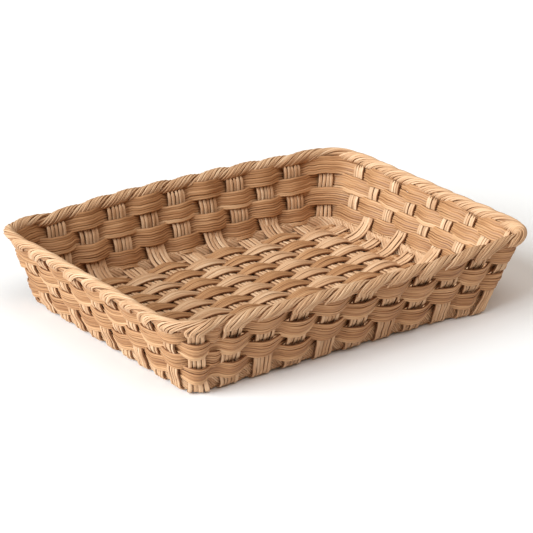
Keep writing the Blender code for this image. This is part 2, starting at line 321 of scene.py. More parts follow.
def strand_material(name):
    """Ribbed matt strand: streaks along it, a tone of its own, painted shade in its grooves and at
    its edges.
    """
    dark, middle, light, painted_shade_tint = COLOURS[name]
    material = bpy.data.materials.new(name)
    material.use_nodes = True
    nodes, links = material.node_tree.nodes, material.node_tree.links
    shader = nodes["Principled BSDF"]

    def node(kind, **settings):
        made = nodes.new(kind)
        for key, value in settings.items():
            setattr(made, key, value)
        return made

    def math_node(operation, first, second):
        made = node("ShaderNodeMath", operation=operation)
        for socket, value in zip(made.inputs, (first, second)):
            if isinstance(value, (int, float)):
                socket.default_value = value
            else:
                links.new(value, socket)
        return made.outputs[0]

    fibre = node("ShaderNodeAttribute", attribute_name="fibre")
    tone = node("ShaderNodeAttribute", attribute_name="tone")
    # painted shade levels across the strand's section
    groove = node("ShaderNodeAttribute", attribute_name="groove")

    def streaks(scale, detail):
        mapping = node("ShaderNodeMapping")
        mapping.inputs["Scale"].default_value = scale
        links.new(fibre.outputs["Vector"], mapping.inputs["Vector"])
        noise = node("ShaderNodeTexNoise")
        noise.inputs["Scale"].default_value = 1.0
        noise.inputs["Detail"].default_value = detail
        links.new(mapping.outputs["Vector"], noise.inputs["Vector"])
        return noise.outputs["Fac"]

    fine, broad = streaks(FINE_SCALE, 3.0), streaks(BROAD_SCALE, 2.0)
    mix = math_node("ADD", math_node("MULTIPLY", fine, FINE_SHARE),
                    math_node("MULTIPLY", broad, BROAD_SHARE))
    mix = math_node("ADD", mix, math_node("MULTIPLY", tone.outputs["Fac"], TONE_SHARE))
    mix = math_node("SUBTRACT", mix, MIX_SHIFT)
    ramp = node("ShaderNodeValToRGB")
    links.new(mix, ramp.inputs["Fac"])
    stops = ramp.color_ramp.elements
    stops[0].position, stops[0].color = DARK_STOP, (*dark, 1)
    stops[1].position, stops[1].color = LIGHT_STOP, (*light, 1)
    stops.new(MIDDLE_STOP).color = (*middle, 1)
    # painted shade: darkens the colour in the strand's grooves and at its edges
    shade = node("ShaderNodeValToRGB")
    links.new(groove.outputs["Fac"], shade.inputs["Fac"])
    shade_stops = shade.color_ramp.elements
    shade_stops[0].position, shade_stops[0].color = FULL_SHADE_STOP, (*painted_shade_tint, 1)
    shade_stops[1].position, shade_stops[1].color = NO_SHADE_STOP, (1, 1, 1, 1)
    tint = node("ShaderNodeMix", data_type="RGBA", blend_type="MULTIPLY")
    tint.inputs["Factor"].default_value = 1.0
    links.new(ramp.outputs["Color"], tint.inputs["A"])
    links.new(shade.outputs["Color"], tint.inputs["B"])
    links.new(tint.outputs["Result"], shader.inputs["Base Color"])
    rough = node("ShaderNodeMapRange")
    links.new(fine, rough.inputs["Value"])
    rough.inputs["To Min"].default_value = LEAST_ROUGHNESS
    rough.inputs["To Max"].default_value = MOST_ROUGHNESS
    links.new(rough.outputs["Result"], shader.inputs["Roughness"])
    bump = node("ShaderNodeBump")
    bump.inputs["Strength"].default_value = BUMP_STRENGTH
    bump.inputs["Distance"].default_value = BUMP_DISTANCE
    links.new(fine, bump.inputs["Height"])
    links.new(bump.outputs["Normal"], shader.inputs["Normal"])
    shader.inputs["Specular IOR Level"].default_value = SPECULAR
    return material


# ---- the walls' surface ----
def measures(height):
    """Half length, half width, corner radius and bow of the outer face at a height."""
    rise = np.asarray(height) / HEIGHT
    half = [HALF_BASE[axis] + (HALF_RIM[axis] - HALF_BASE[axis]) * rise for axis in (0, 1)]
    return half[0], half[1], BASE_RADIUS + (RIM_RADIUS - BASE_RADIUS) * rise, BOW * rise


def wall(place, height, depth):
    """Point and outward direction on the walls. place runs counter-clockwise from 0 to 8:
    0 to 1 is the front wall, 1 to 2 its right corner, 2 to 3 the right wall, and so on."""
    place, height, depth = np.broadcast_arrays(
        *(np.asarray(value, float) for value in (place, height, depth)))
    half_length, half_width, radius, bow = measures(height)
    place = np.mod(place, 8)
    part = np.floor(place).astype(int)
    share = place - part
    straight_x = half_length - radius
    straight_y = half_width - bow - radius
    point = np.zeros(place.shape + (2,))
    outward = np.zeros(place.shape + (2,))
    for sign, number in ((-1, 0), (1, 4)):
        on = part == number
        x = -sign * straight_x * (2 * share - 1)
        slope = 2 * bow * x / straight_x ** 2
        direction = unit(np.stack([slope, np.full_like(slope, sign)], axis=-1))
        y = sign * (half_width - bow * (x / straight_x) ** 2)
        flat = np.stack([x, y], axis=-1) - direction * depth[..., None]
        point[on], outward[on] = flat[on], direction[on]
    for sign, number in ((1, 2), (-1, 6)):
        on = part == number
        y = sign * straight_y * (2 * share - 1)
        flat = np.stack([sign * (half_length - depth), y], axis=-1)
        point[on] = flat[on]
        outward[on] = (sign, 0)
    for number, sign_x, sign_y in ((1, 1, -1), (3, 1, 1), (5, -1, 1), (7, -1, -1)):
        on = part == number
        start = {1: -90, 3: 0, 5: 90, 7: 180}[number]
        angle = np.radians(start + 90 * share)
        direction = np.stack([np.cos(angle), np.sin(angle)], axis=-1)
        middle = np.stack([sign_x * straight_x, sign_y * straight_y], axis=-1)
        flat = middle + direction * (radius - depth)[..., None]
        point[on], outward[on] = flat[on], direction[on]
    position = np.concatenate([point, height[..., None]], axis=-1)
    outward = np.concatenate([outward, np.zeros(place.shape + (1,))], axis=-1)
    return position, outward


def leaned(outward):
    """The wall's outward normal and its upward direction, where the wall leans outwards."""
    normal = outward * math.cos(LEAN) - UP * math.sin(LEAN)
    return normal, outward * math.sin(LEAN) + UP * math.cos(LEAN)


# ---- where the stakes stand ----
TURN_LIMIT = 0.99                  # sine of how far round a corner a wall's last stake may stand


def vertices(node):
    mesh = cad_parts[node].data
    points = np.empty(len(mesh.vertices) * 3)
    mesh.vertices.foreach_get("co", points)
    return points.reshape(-1, 3)


def middle_of(points, chosen):
    found = points[chosen]
    return (found.min(axis=0) + found.max(axis=0)) / 2


class Site:
    """A stake's place in the walls. A corner stake stands at one share of its corner; the others
    run evenly from their place on the floor, low, to their place under the rim, top."""

    def __init__(self, name, part, weaver_side, width, strands, low=None, top=None, share=None):
        self.name, self.part = name, part
        self.weaver_side = weaver_side
        self.width, self.strands = width, strands
        self.low, self.top = low, top
        self.share = share

    def place(self, height):
        height = np.asarray(height, float)
        if self.share is not None:
            return np.full(height.shape, self.part + self.share)
        half_length, half_width, radius, bow = measures(height)
        mix = (height - self.low[2]) / (self.top[2] - self.low[2])
        at = self.low[:, None] + (self.top - self.low)[:, None] * mix.ravel()
        along_x = self.part in (0, 4)
        value = (at[0] if along_x else at[1]).reshape(height.shape)
        straight = (half_length if along_x else half_width - bow) - radius
        if self.part in (4, 6):
            value = -value
        past = np.clip(abs(value) - straight, 0, None) / (radius - MID_DEPTH)
        turned = np.arcsin(np.clip(past, 0, TURN_LIMIT)) / (math.pi / 2)
        inner = (np.clip(value / straight, -1, 1) + 1) / 2
        return self.part + inner + np.sign(value) * turned

    def point(self, height, depth=MID_DEPTH):
        return wall(self.place(height), height, depth)

    def side_in_row(self, row):
        return self.weaver_side if row % 2 == 0 else -self.weaver_side

    def backness(self):
        return float(backness(self.point(ROW_HEIGHTS[3])[0][1]))


FLOOR_Z = 0.0070                   # of the middle of the bands on the floor
TOP = 0.8 * HEIGHT                 # a stake's points above this are those of its upper end
# a stake's points below this height and this near the middle are those on the floor
CROSS_FLOOR_TOP, CROSS_FLOOR_REACH = 0.012, 0.115
LONG_FLOOR_TOP, LONG_FLOOR_REACH = 0.013, 0.15
CROSS_NAMES = [f"cross_stake_{number:02d}" for number in range(1, 10)]
LONG_NAMES = [f"long_stake_{number:02d}" for number in range(1, 10)]
WEAVER_NAMES = [f"floor_weaver_{number:02d}" for number in range(1, 10)]
ROW_NAMES = [f"weaver_row_{number}" for number in range(1, 5)]
ROW_HEIGHTS = [(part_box(name)[0][2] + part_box(name)[1][2]) / 2 for name in ROW_NAMES]
# each corner stake's part of the walls
CORNERS = {"corner_stake_front_right": 1, "corner_stake_back_right": 3,
           "corner_stake_back_left": 5, "corner_stake_front_left": 7}
CROSS_WIDTH, LONG_WIDTH, CORNER_WIDTH = 0.0195, 0.0128, 0.0145
CROSS_STRANDS, LONG_STRANDS, CORNER_STRANDS = 5, 4, 4


def cross_site(index, back):
    points = vertices(CROSS_NAMES[index])
    on_floor = (points[:, 2] < CROSS_FLOOR_TOP) & (abs(points[:, 1]) < CROSS_FLOOR_REACH)
    low = np.array([middle_of(points, on_floor)[0], 0, FLOOR_Z])
    top = middle_of(points, (points[:, 2] > TOP) & ((points[:, 1] > 0) == back))
    even = OUTSIDE if back else INSIDE
    side = even if index % 2 == 0 else -even
    return Site(CROSS_NAMES[index], 4 if back else 0, side, CROSS_WIDTH, CROSS_STRANDS, low, top)


def long_site(index, right):
    points = vertices(LONG_NAMES[index])
    on_floor = (points[:, 2] < LONG_FLOOR_TOP) & (abs(points[:, 0]) < LONG_FLOOR_REACH)
    low = np.array([0, middle_of(points, on_floor)[1], FLOOR_Z])
    top = middle_of(points, (points[:, 2] > TOP) & ((points[:, 0] > 0) == right))
    side = OUTSIDE if index % 2 == 0 else INSIDE
    return Site(LONG_NAMES[index], 2 if right else 6, side, LONG_WIDTH, LONG_STRANDS, low, top)


def corner_site(name):
    part = CORNERS[name]
    points = vertices(name)
    top = middle_of(points, points[:, 2] > TOP)
    half_length, half_width, radius, bow = measures(top[2])
    x = abs(top[0]) - (half_length - radius)
    y = abs(top[1]) - (half_width - bow - radius)
    share = math.atan2(y, x) / (math.pi / 2)
    return Site(name, part, OUTSIDE if part == 1 else INSIDE, CORNER_WIDTH, CORNER_STRANDS,
                share=share if part in (3, 7) else 1 - share)


# counter-clockwise: front left corner, front wall 1 to 9, corner, right wall 11 to 19, corner,
# back wall 21 to 29, corner, left wall 31 to 39
SITES = [corner_site("corner_stake_front_left")]
SITES += [cross_site(index, False) for index in range(9)]
SITES.append(corner_site("corner_stake_front_right"))
SITES += [long_site(index, True) for index in range(9)]
SITES.append(corner_site("corner_stake_back_right"))
SITES += [cross_site(index, True) for index in reversed(range(9))]
SITES.append(corner_site("corner_stake_back_left"))
SITES += [long_site(index, False) for index in reversed(range(9))]
# where each wall's first stake stands in SITES; the back and the left wall are counted down
FRONT_FIRST, RIGHT_FIRST, BACK_FIRST, LEFT_FIRST = 1, 11, 29, 39
RING_START = 7.4                   # between the last stake of the left wall and its front corner
RING_POINTS = 4001


class Ring:
    """Evenly spaced places round the walls at one height, with the stakes' positions on them."""

    def __init__(self, height, depth):
        fine = np.linspace(RING_START, RING_START + 8, RING_POINTS)
        points, _ = wall(fine, height, depth)
        travel = travel_of(points)
        self.length = travel[-1]
        self.fine, self.travel = fine, travel
        self.sites = []
        for site in SITES:
            place = float(site.place(height))
            if place < RING_START:
                place += 8
            self.sites.append(float(np.interp(place, fine, travel)))

    def place(self, travel):
        return np.interp(np.mod(travel, self.length), self.travel, self.fine)


# ---- weaver rows round the walls ----
ROW_STRANDS = 4
ROW_BULGE = 0.0041                 # from the middle of the stakes to the middle of a weaver
ROW_BULGE_RANGE = (0.88, 1.14)     # shares of that, which vary from arc to arc
# the weavers lie flatter over the short walls' narrow stakes
LONG_WALL_BULGE, SHORT_WALL_BULGE, CORNER_BULGE = 1.05, 0.58, 0.88
PART_BULGES = {0: LONG_WALL_BULGE, 2: SHORT_WALL_BULGE, 4: LONG_WALL_BULGE, 6: SHORT_WALL_BULGE}
BULGE_SHARES = np.array([PART_BULGES.get(site.part, CORNER_BULGE) for site in SITES])
SAME_SIDE_DIP = 1.35               # how far a row dips between two stakes that it passes alike
FULL_GAIN, FULL_MOST, FULL_POWER = 1.15, 1.1, 0.75     # how a row's width grows with its bulge
ROW_WIDE, ROW_NARROW = 0.0166, 0.0147
TOP_ROW_NARROW, TOP_ROW_RISE = 0.0164, 0.0006
SHORT_WALL_EXTRA, BACK_WALL_EXTRA = 0.0007, 0.0014     # of the narrow width
ROW_DROOP = 0.0013                 # how far an arc hangs below its ends
DROOP_LEVEL = 0.45                 # fullness at which it is neither raised nor lowered
SHORT_WALL_FLATNESS = 0.7          # share of the droop that is missing on the short walls
ROW_WAVES, ROW_WANDER = 30, 0.0004
ROW_CROWN, ROW_TONE = 0.0009, 0.45


def weave(travel, ring, row, sizes):
    """Signed share of the bulge along a row: 1 outside a stake, -1 inside."""
    marks = np.array(ring.sites + [ring.sites[0] + ring.length])
    sides = np.array([site.side_in_row(row) for site in SITES + SITES[:1]])
    travel = np.where(travel < marks[0], travel + ring.length, travel)
    index = np.clip(np.searchsorted(marks, travel, side="right") - 1, 0, len(SITES) - 1)
    share = (travel - marks[index]) / (marks[index + 1] - marks[index])
    before, after = sides[index], sides[index + 1]
    turn = 0.5 - 0.5 * np.cos(math.pi * share)
    dip = np.where(before == after, 1 - SAME_SIDE_DIP * np.sin(math.pi * share) ** 2, 1.0)
    size = sizes[index] * (1 - turn) + sizes[np.mod(index + 1, len(SITES))] * turn
    return (before * (1 - turn) + after * turn) * dip * size


def make_row(row, material):
    height = ROW_HEIGHTS[row]
    ring = Ring(height, MID_DEPTH)
    count = int(ring.length / STEP)
    travel = np.arange(count) * ring.length / count
    points, outward = wall(ring.place(travel), height, MID_DEPTH)
    back = backness(points[:, 1])
    points, outward = wall(ring.place(travel), height - BACK_DROP * row * back, MID_DEPTH)
    normal, upward = leaned(outward)
    sizes = BULGE_SHARES * RNG.uniform(*ROW_BULGE_RANGE, len(SITES))
    share = weave(travel, ring, row, sizes)
    fullness = np.clip(np.abs(share) * FULL_GAIN, 0, FULL_MOST) ** FULL_POWER
    short = np.abs(outward[:, 0])
    droop = (ROW_DROOP * (1 - SHORT_WALL_FLATNESS * short) * (DROOP_LEVEL - fullness)
             + wobble(travel / ring.length, ROW_WAVES, ROW_WANDER, True))
    narrow = ROW_NARROW
    if row == 0:
        narrow = TOP_ROW_NARROW
        droop = droop + TOP_ROW_RISE
    narrow = narrow + SHORT_WALL_EXTRA * short + BACK_WALL_EXTRA * back
    width = narrow + (ROW_WIDE - narrow) * fullness
    centre = points + normal * (ROW_BULGE * share)[:, None] + upward * droop[:, None]
    piece = Piece(f"{ROW_NAMES[row]}_strands")
    piece.bundle(centre, upward, width, ROW_STRANDS, crown=-ROW_CROWN * share, tone=ROW_TONE,
                 closed=True)
    piece.build(material, "weaver_strands", ROW_NAMES[row])


# ---- stakes ----
STAKE_SWAY = 0.0018                # how far a row pushes a stake to its other side
POINT_STEP = 0.0040                # between the points that a stake's line is drawn through
STAKE_TOP, STAKE_LOW = 0.0640, 0.013               # of those up its wall
CORNER_LOW, CORNER_STEP = 0.009, 0.0035            # the same for a corner stake
FLOOR_GAPS = (0.004, 0.003)        # left free on the floor beside a stake's two turns
WALL_Z, WALL_REACH = 0.010, 0.012  # where a stake begins to widen for the wall, and over how far
CROSS_FLOOR_WIDTH, CROSS_CROWN = 0.0185, 0.0003
STAKE_TONE, STAKE_WANDER = 0.62, 0.00030
CROSS_FILL, CORNER_FILL = 0.90, 0.91
CORNER_FLARE, FLARE_TOP, FLARE_REACH = 0.3, 0.016, 0.014       # of a corner stake's foot
# (inset, height) on the way from the foot of a wall, under it, and up on to the floor
BASE_TURN = ((0.0024, 0.0085), (0.0024, 0.0048), (0.0046, 0.0019), (0.0100, 0.0015),
             (0.0150, 0.0034), (0.0210, 0.0060), (0.0270, FLOOR_Z))
TURN_PLACE_Z = 0.004               # the turn keeps the stake's place in the wall at this height


def wall_run(site, heights):
    """A stake's centre line up its wall, swaying away from each row."""
    back = site.backness()
    rows = (3, 2, 1, 0)
    marks = [0.0] + [ROW_HEIGHTS[row] - BACK_DROP * row * back for row in rows] + [HEIGHT]
    sides = [0.0] + [-site.side_in_row(row) for row in rows] + [0.0]
    sway = np.interp(heights, marks, sides)
    points, outward = site.point(heights, MID_DEPTH)
    normal, _ = leaned(outward)
    return points + normal * (sway * STAKE_SWAY)[:, None]


def base_turn(site):
    """The points of BASE_TURN at a stake."""
    points = []
    for inset, height in BASE_TURN:
        point, _ = wall(site.place(TURN_PLACE_Z), 0.0, inset)
        points.append([point[0], point[1], height])
    return np.array(points)


# (inset from the foot's outer edge, height) of strands that pass over the foot inside the wall,
# where row 4 is outside the stake and where it is inside, on the front wall and on the back wall
FAN_OVER = ((-0.0033, 0.0260), (-0.0012, 0.0228), (0.0014, 0.0200), (0.0046, 0.0176),
            (0.0088, 0.0142), (0.0134, 0.0105), (0.0195, 0.0081), (0.0262, FLOOR_Z - 0.0002))
FAN_OVER_BACK = ((-0.0033, 0.0260), (-0.0018, 0.0222), (0.0000, 0.0190), (0.0028, 0.0150),
                 (0.0066, 0.0116), (0.0118, 0.0093), (0.0185, 0.0079), (0.0262, FLOOR_Z - 0.0002))
FAN_UNDER = ((0.0066, 0.0134), (0.0092, 0.0122), (0.0125, 0.0102), (0.0160, 0.0088),
             (0.0205, 0.0078), (0.0262, FLOOR_Z - 0.0002))
FAN_UNDER_BACK = ((0.0068, 0.0088), (0.0092, 0.0092), (0.0125, 0.0088), (0.0160, 0.0083),
                  (0.0205, 0.0076), (0.0262, FLOOR_Z - 0.0002))
FAN_SWELL, FAN_TONE, FAN_FILL, FAN_THICKNESS, FAN_WANDER = 0.05, 0.58, 0.92, 0.0020, 0.0004


def inner_fan(piece, site, strands):
    """Strands of a stake that come down inside the foot and fan out on to the floor."""
    over = site.side_in_row(3) == OUTSIDE
    front_keys, back_keys = (FAN_OVER, FAN_OVER_BACK) if over else (FAN_UNDER, FAN_UNDER_BACK)
    back = site.backness()
    keys = np.array(front_keys) * (1 - back) + np.array(back_keys) * back
    points, outward = wall(site.place(keys[:, 1]), 0.0, keys[:, 0])
    points[:, 2] = keys[:, 1]
    line = resample(points)
    along = np.linspace(0, 1, len(line))
    across = np.broadcast_to(np.cross(UP, outward[0]), line.shape)
    width = site.width * (1.0 + FAN_SWELL * np.sin(math.pi * along) ** 2)
    piece.bundle(line, across, width, strands, tone=FAN_TONE, fill=FAN_FILL,
                 thickness=FAN_THICKNESS, wander=FAN_WANDER, rib=STAKE_RIB)


def make_cross_stake(index, material):
    front, back = SITES[FRONT_FIRST + index], SITES[BACK_FIRST - index]
    heights = np.arange(STAKE_TOP, STAKE_LOW, -POINT_STEP)
    front_wall, back_wall = wall_run(front, heights), wall_run(back, heights)
    front_turn, back_turn = base_turn(front), base_turn(back)
    start, end = front_turn[-1], back_turn[-1]
    reach = np.arange(start[1] + FLOOR_GAPS[0], end[1] - FLOOR_GAPS[1], POINT_STEP)
    x = np.interp(reach, [start[1], end[1]], [start[0], end[0]])
    floor = np.stack([x, reach, floor_ripple(reach, index)], axis=1)
    line = resample(np.concatenate([front_wall, front_turn, floor, back_turn[::-1],
                                    back_wall[::-1]]))
    across = np.broadcast_to(np.array([1.0, 0, 0]), line.shape)
    on_wall = np.clip((line[:, 2] - WALL_Z) / WALL_REACH, 0, 1)
    width = CROSS_FLOOR_WIDTH + (CROSS_WIDTH - CROSS_FLOOR_WIDTH) * on_wall
    piece = Piece(f"{front.name}_strands")
    piece.bundle(line, across, width, CROSS_STRANDS, crown=CROSS_CROWN, tone=STAKE_TONE,
                 fill=CROSS_FILL, wander=STAKE_WANDER, rib=STAKE_RIB)
    for site in (front, back):
        inner_fan(piece, site, CROSS_STRANDS)
    piece.build(material, "stake_strands", front.name)


# ---- bands along the floor: long stakes and floor weavers by turns ----
FLOOR_BULGE = 0.0029               # how far a band rises over a cross stake and sinks under it
FLOOR_WIDE, FLOOR_NARROW = 0.0154, 0.0106
FLOOR_CROWN, FLOOR_WANDER = 0.0008, 0.00026
FLOOR_FILL, WALL_FILL = 1.05, 0.91
FLOOR_END_X, FLOOR_END_REACH = 0.148, 0.010        # where a band's floor part gives way
RIPPLE, RIPPLE_REACH = 0.0006, 0.012
LONG_TONE, LONG_RIB = 0.55, 0.5
WEAVER_TONE, WEAVER_RIB, WEAVER_END_MARGIN = 0.45, 0.8, 0.001
BAND_COUNT = 18
LONG_FLOOR_Y = [float(SITES[RIGHT_FIRST + index].low[1]) for index in range(9)]
CROSS_FLOOR_X = [float(SITES[FRONT_FIRST + index].low[0]) for index in range(9)]


def band_y(band):
    if band % 2:
        lowest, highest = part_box(WEAVER_NAMES[band // 2])
        return (lowest[1] + highest[1]) / 2
    return LONG_FLOOR_Y[band // 2]


BANDS = [band_y(band) for band in range(BAND_COUNT)]


def floor_ripple(y, index):
    """Height of a cross stake on the floor: a little down under each band that passes over."""
    sides = [-1 if (index + band) % 2 == 0 else 1 for band in range(BAND_COUNT)]
    marks = [BANDS[0] - RIPPLE_REACH] + BANDS + [BANDS[-1] + RIPPLE_REACH]
    return FLOOR_Z + RIPPLE * np.interp(y, marks, [0] + sides + [0])


def floor_wave(x, band):
    """Signed share of the bulge of a floor band: 1 over a cross stake, -1 under it."""
    pitch = CROSS_FLOOR_X[1] - CROSS_FLOOR_X[0]
    marks = np.array([CROSS_FLOOR_X[0] - pitch] + CROSS_FLOOR_X + [CROSS_FLOOR_X[-1] + pitch])
    sides = np.array([0.0] + [1 if (index + band) % 2 == 0 else -1 for index in range(9)] + [0.0])
    index = np.clip(np.searchsorted(marks, x, side="right") - 1, 0, len(marks) - 2)
    share = np.clip((x - marks[index]) / (marks[index + 1] - marks[index]), 0, 1)
    turn = 0.5 - 0.5 * np.cos(math.pi * share)
    return sides[index] * (1 - turn) + sides[index + 1] * turn


def floor_line(reach, band):
    """Points of a band on the floor at the given places along it."""
    height = FLOOR_Z + FLOOR_BULGE * floor_wave(reach, band)
    return np.stack([reach, np.full(len(reach), BANDS[band]), height], axis=1)


def floor_bundle(piece, line, band, tone, rib, wall_width):
    wave = floor_wave(line[:, 0], band)
    on_floor = 1 - np.clip((np.abs(line[:, 0]) - FLOOR_END_X) / FLOOR_END_REACH, 0, 1)
    floor_width = FLOOR_NARROW + (FLOOR_WIDE - FLOOR_NARROW) * np.abs(wave) ** FULL_POWER
    width = floor_width * on_floor + wall_width * (1 - on_floor)
    across = np.broadcast_to(np.array([0, 1.0, 0]), line.shape)
    piece.bundle(line, across, width, LONG_STRANDS, crown=-FLOOR_CROWN * wave * on_floor,
                 tone=tone, fill=FLOOR_FILL * on_floor + WALL_FILL * (1 - on_floor),
                 wander=FLOOR_WANDER, rib=rib)


def make_long_stake(index, material):
    right, left = SITES[RIGHT_FIRST + index], SITES[LEFT_FIRST - index]
    heights = np.arange(STAKE_TOP, STAKE_LOW, -POINT_STEP)
    left_wall, right_wall = wall_run(left, heights), wall_run(right, heights)
    left_turn, right_turn = base_turn(left), base_turn(right)
    reach = np.arange(left_turn[-1, 0] + FLOOR_GAPS[0], right_turn[-1, 0] - FLOOR_GAPS[1], STEP)
    band = 2 * index
    line = resample(np.concatenate([left_wall, left_turn, floor_line(reach, band),
                                    right_turn[::-1], right_wall[::-1]]))
    piece = Piece(f"{left.name}_strands")
    floor_bundle(piece, line, band, LONG_TONE, LONG_RIB, LONG_WIDTH)
    for site in (left, right):
        inner_fan(piece, site, LONG_STRANDS)
    piece.build(material, "stake_strands", left.name)


def make_floor_weaver(index, material):
    band = 2 * index + 1
    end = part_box(WEAVER_NAMES[index])[1][0]
    reach = np.arange(-end, end + WEAVER_END_MARGIN, STEP)
    line = resample(floor_line(reach, band))
    piece = Piece(f"{WEAVER_NAMES[index]}_strands")
    floor_bundle(piece, line, band, WEAVER_TONE, WEAVER_RIB, FLOOR_NARROW)
    piece.build(material, "weaver_strands", WEAVER_NAMES[index])


def make_corner_stake(name, material):
    site = next(item for item in SITES if item.name == name)
    heights = np.arange(STAKE_TOP, CORNER_LOW, -CORNER_STEP)
    line = resample(np.concatenate([wall_run(site, heights), base_turn(site)[1:4]]))
    _, outward = site.point(line[:, 2])
    across = np.cross(UP, outward)
    flare = np.clip((FLARE_TOP - line[:, 2]) / FLARE_REACH, 0, 1)
    piece = Piece(f"{name}_strands")
    piece.bundle(line, across, site.width * (1 + CORNER_FLARE * flare), CORNER_STRANDS,
                 tone=STAKE_TONE, fill=CORNER_FILL, wander=STAKE_WANDER, rib=STAKE_RIB)
    piece.build(material, "stake_strands", name)


# ---- rim: each stake's end bends to one side and is laid over the edge ----
RIM_CENTRE_Z = HEIGHT - 0.0062
RIM_CENTRE_DEPTH = 0.0062
# (along the rim in pitches, outwards, upwards) of a folded end, from its stake to its tip
LONG_WALL_FOLD = np.array([
    (0.00, 0.0008, -0.0075), (0.03, 0.0022, -0.0046), (0.11, 0.0042, -0.0018),
    (0.25, 0.0047, 0.0013), (0.42, 0.0032, 0.0039), (0.60, 0.0004, 0.0049),
    (0.78, -0.0026, 0.0038), (0.93, -0.0044, 0.0009), (1.05, -0.0043, -0.0023),
    (1.14, -0.0022, -0.0046), (1.20, 0.0002, -0.0036),
])
SHORT_WALL_FOLD = np.array([
    (0.00, 0.0008, -0.0075), (0.05, 0.0026, -0.0044), (0.15, 0.0045, -0.0010),
    (0.33, 0.0044, 0.0022), (0.62, 0.0026, 0.0045), (0.92, 0.0002, 0.0050),
    (1.18, -0.0024, 0.0040), (1.42, -0.0041, 0.0014), (1.60, -0.0042, -0.0018),
    (1.72, -0.0022, -0.0042), (1.80, 0.0002, -0.0034),
])
RIM_POINTS = 34                    # along a folded end
ROOM_RANGE, FOLD_SIZE_RANGE = (0.88, 0.98), (0.92, 1.06)       # shares that vary from fold to fold
OPEN_START = 0.04                  # share of its length where a fold begins to spread
LONG_WALL_OPEN, SHORT_WALL_OPEN = 0.30, 0.42       # and the share over which it does
# radius shares at a fold's edges and added in its middle
LONG_WALL_SWELL, SHORT_WALL_SWELL = (0.70, 0.34), (0.80, 0.22)
START_SHARE = 0.2                  # of a fold, which still follows its stake
EXTRA_STRANDS = 2                  # of a fold, besides those of its stake
RIM_TONE, FOLD_TONE_SPREAD = 0.55, 0.05
RIM_FILL, RIM_RIB, WIDEST_HALF = 1.10, 0.6, 0.0026
LEAST_SLANT = 0.12                 # keeps strands from vanishing where they run along the rim
FOLD_WANDER, FOLD_SWELL_WANDER = (1.0, 0.0005), (1.2, 0.03)    # waves and size
# the rim's core: three strands twisted round each other
CORE_STRANDS, CORE_REACH, CORE_LEAD, CORE_DROP = 3, 0.0017, 0.09, 0.0004
CORE_STEP, CORE_HALF_WIDTH, CORE_HALF_THICKNESS, CORE_TONE = 0.004, 0.0019, 0.0017, 0.40


def smooth_keys(keys, count):
    """Catmull-Rom curve through rows of keys."""
    spots = np.linspace(0, len(keys) - 1, count)
    padded = np.concatenate([2 * keys[:1] - keys[1:2], keys, 2 * keys[-1:] - keys[-2:-1]])
    index = np.minimum(spots.astype(int), len(keys) - 2)
    t = (spots - index)[:, None]
    a, b, c, d = (padded[index + step] for step in range(4))
    return 0.5 * (2 * b + (c - a) * t + (2 * a - 5 * b + 4 * c - d) * t ** 2
                  + (3 * b - a - 3 * c + d) * t ** 3)


def lay_fold(piece, ring, index, pitch, before):
    """A stake's end, bent to one side and laid along the rim; before is the pitch before it."""
    site = SITES[index]
    along_short = site.part in (2, 6)
    fold = smooth_keys(SHORT_WALL_FOLD if along_short else LONG_WALL_FOLD, RIM_POINTS)
    edge, swelling = SHORT_WALL_SWELL if along_short else LONG_WALL_SWELL
    room = (pitch + before) / 2 * RNG.uniform(*ROOM_RANGE)
    size = RNG.uniform(*FOLD_SIZE_RANGE)
    tone = RIM_TONE + RNG.normal(0, FOLD_TONE_SPREAD)
    order = np.linspace(0, 1, RIM_POINTS)
    open_share = SHORT_WALL_OPEN if along_short else LONG_WALL_OPEN
    opened = np.clip((order - OPEN_START) / open_share, 0, 1)
    spread = site.width + (room - site.width) * opened
    near_start = np.clip(1 - order / START_SHARE, 0, 1)
    low = near_start[:, None]
    strands = site.strands + EXTRA_STRANDS
    for strand in range(strands):
        place = (2 * strand + 1) / strands - 1
        travel = ring.sites[index] + fold[:, 0] * pitch + place * spread / 2
        travel = travel + wobble(order, *FOLD_WANDER, False)
        swell = (edge + swelling * (1 - place ** 2)) * size
        swell = swell + wobble(order, *FOLD_SWELL_WANDER, False)
        swell = swell * (1 - near_start) + near_start
        out = fold[:, 1] * swell - site.weaver_side * STAKE_SWAY * near_start
        centre, outward = wall(ring.place(travel), HEIGHT, RIM_CENTRE_DEPTH)
        centre = centre + outward * out[:, None]
        centre[:, 2] = RIM_CENTRE_Z + fold[:, 2] * swell
        normal = outward * fold[:, 1:2] + UP * fold[:, 2:3]
        normal = unit(normal) * (1 - low) + leaned(outward)[0] * low
        along_rim = dot(tangents(centre, False), np.cross(UP, outward))[:, 0]
        slant = np.sqrt(np.clip(1 - along_rim ** 2, LEAST_SLANT, 1))
        half_width = np.minimum(spread * slant / (2 * strands) * RIM_FILL, WIDEST_HALF)
        own_tone = np.clip(tone + RNG.normal(0, TONE_SPREAD), 0, 1)
        piece.strand(centre, normal, half_width, STRAND_THICKNESS / 2, own_tone, rib=RIM_RIB)


def lay_core(piece, ring):
    count = int(ring.length / CORE_STEP)
    travel = np.arange(count) * ring.length / count
    centre, outward = wall(ring.place(travel), HEIGHT, RIM_CENTRE_DEPTH)
    centre[:, 2] = RIM_CENTRE_Z - CORE_DROP
    turns = np.round(ring.length / CORE_LEAD)
    for strand in range(CORE_STRANDS):
        angle = 2 * math.pi * (strand / CORE_STRANDS + turns * travel / ring.length)
        line = (centre + outward * (CORE_REACH * np.cos(angle))[:, None]
                + UP * (CORE_REACH * np.sin(angle))[:, None])
        piece.strand(line, UP + outward * 0, CORE_HALF_WIDTH, CORE_HALF_THICKNESS, CORE_TONE, True)


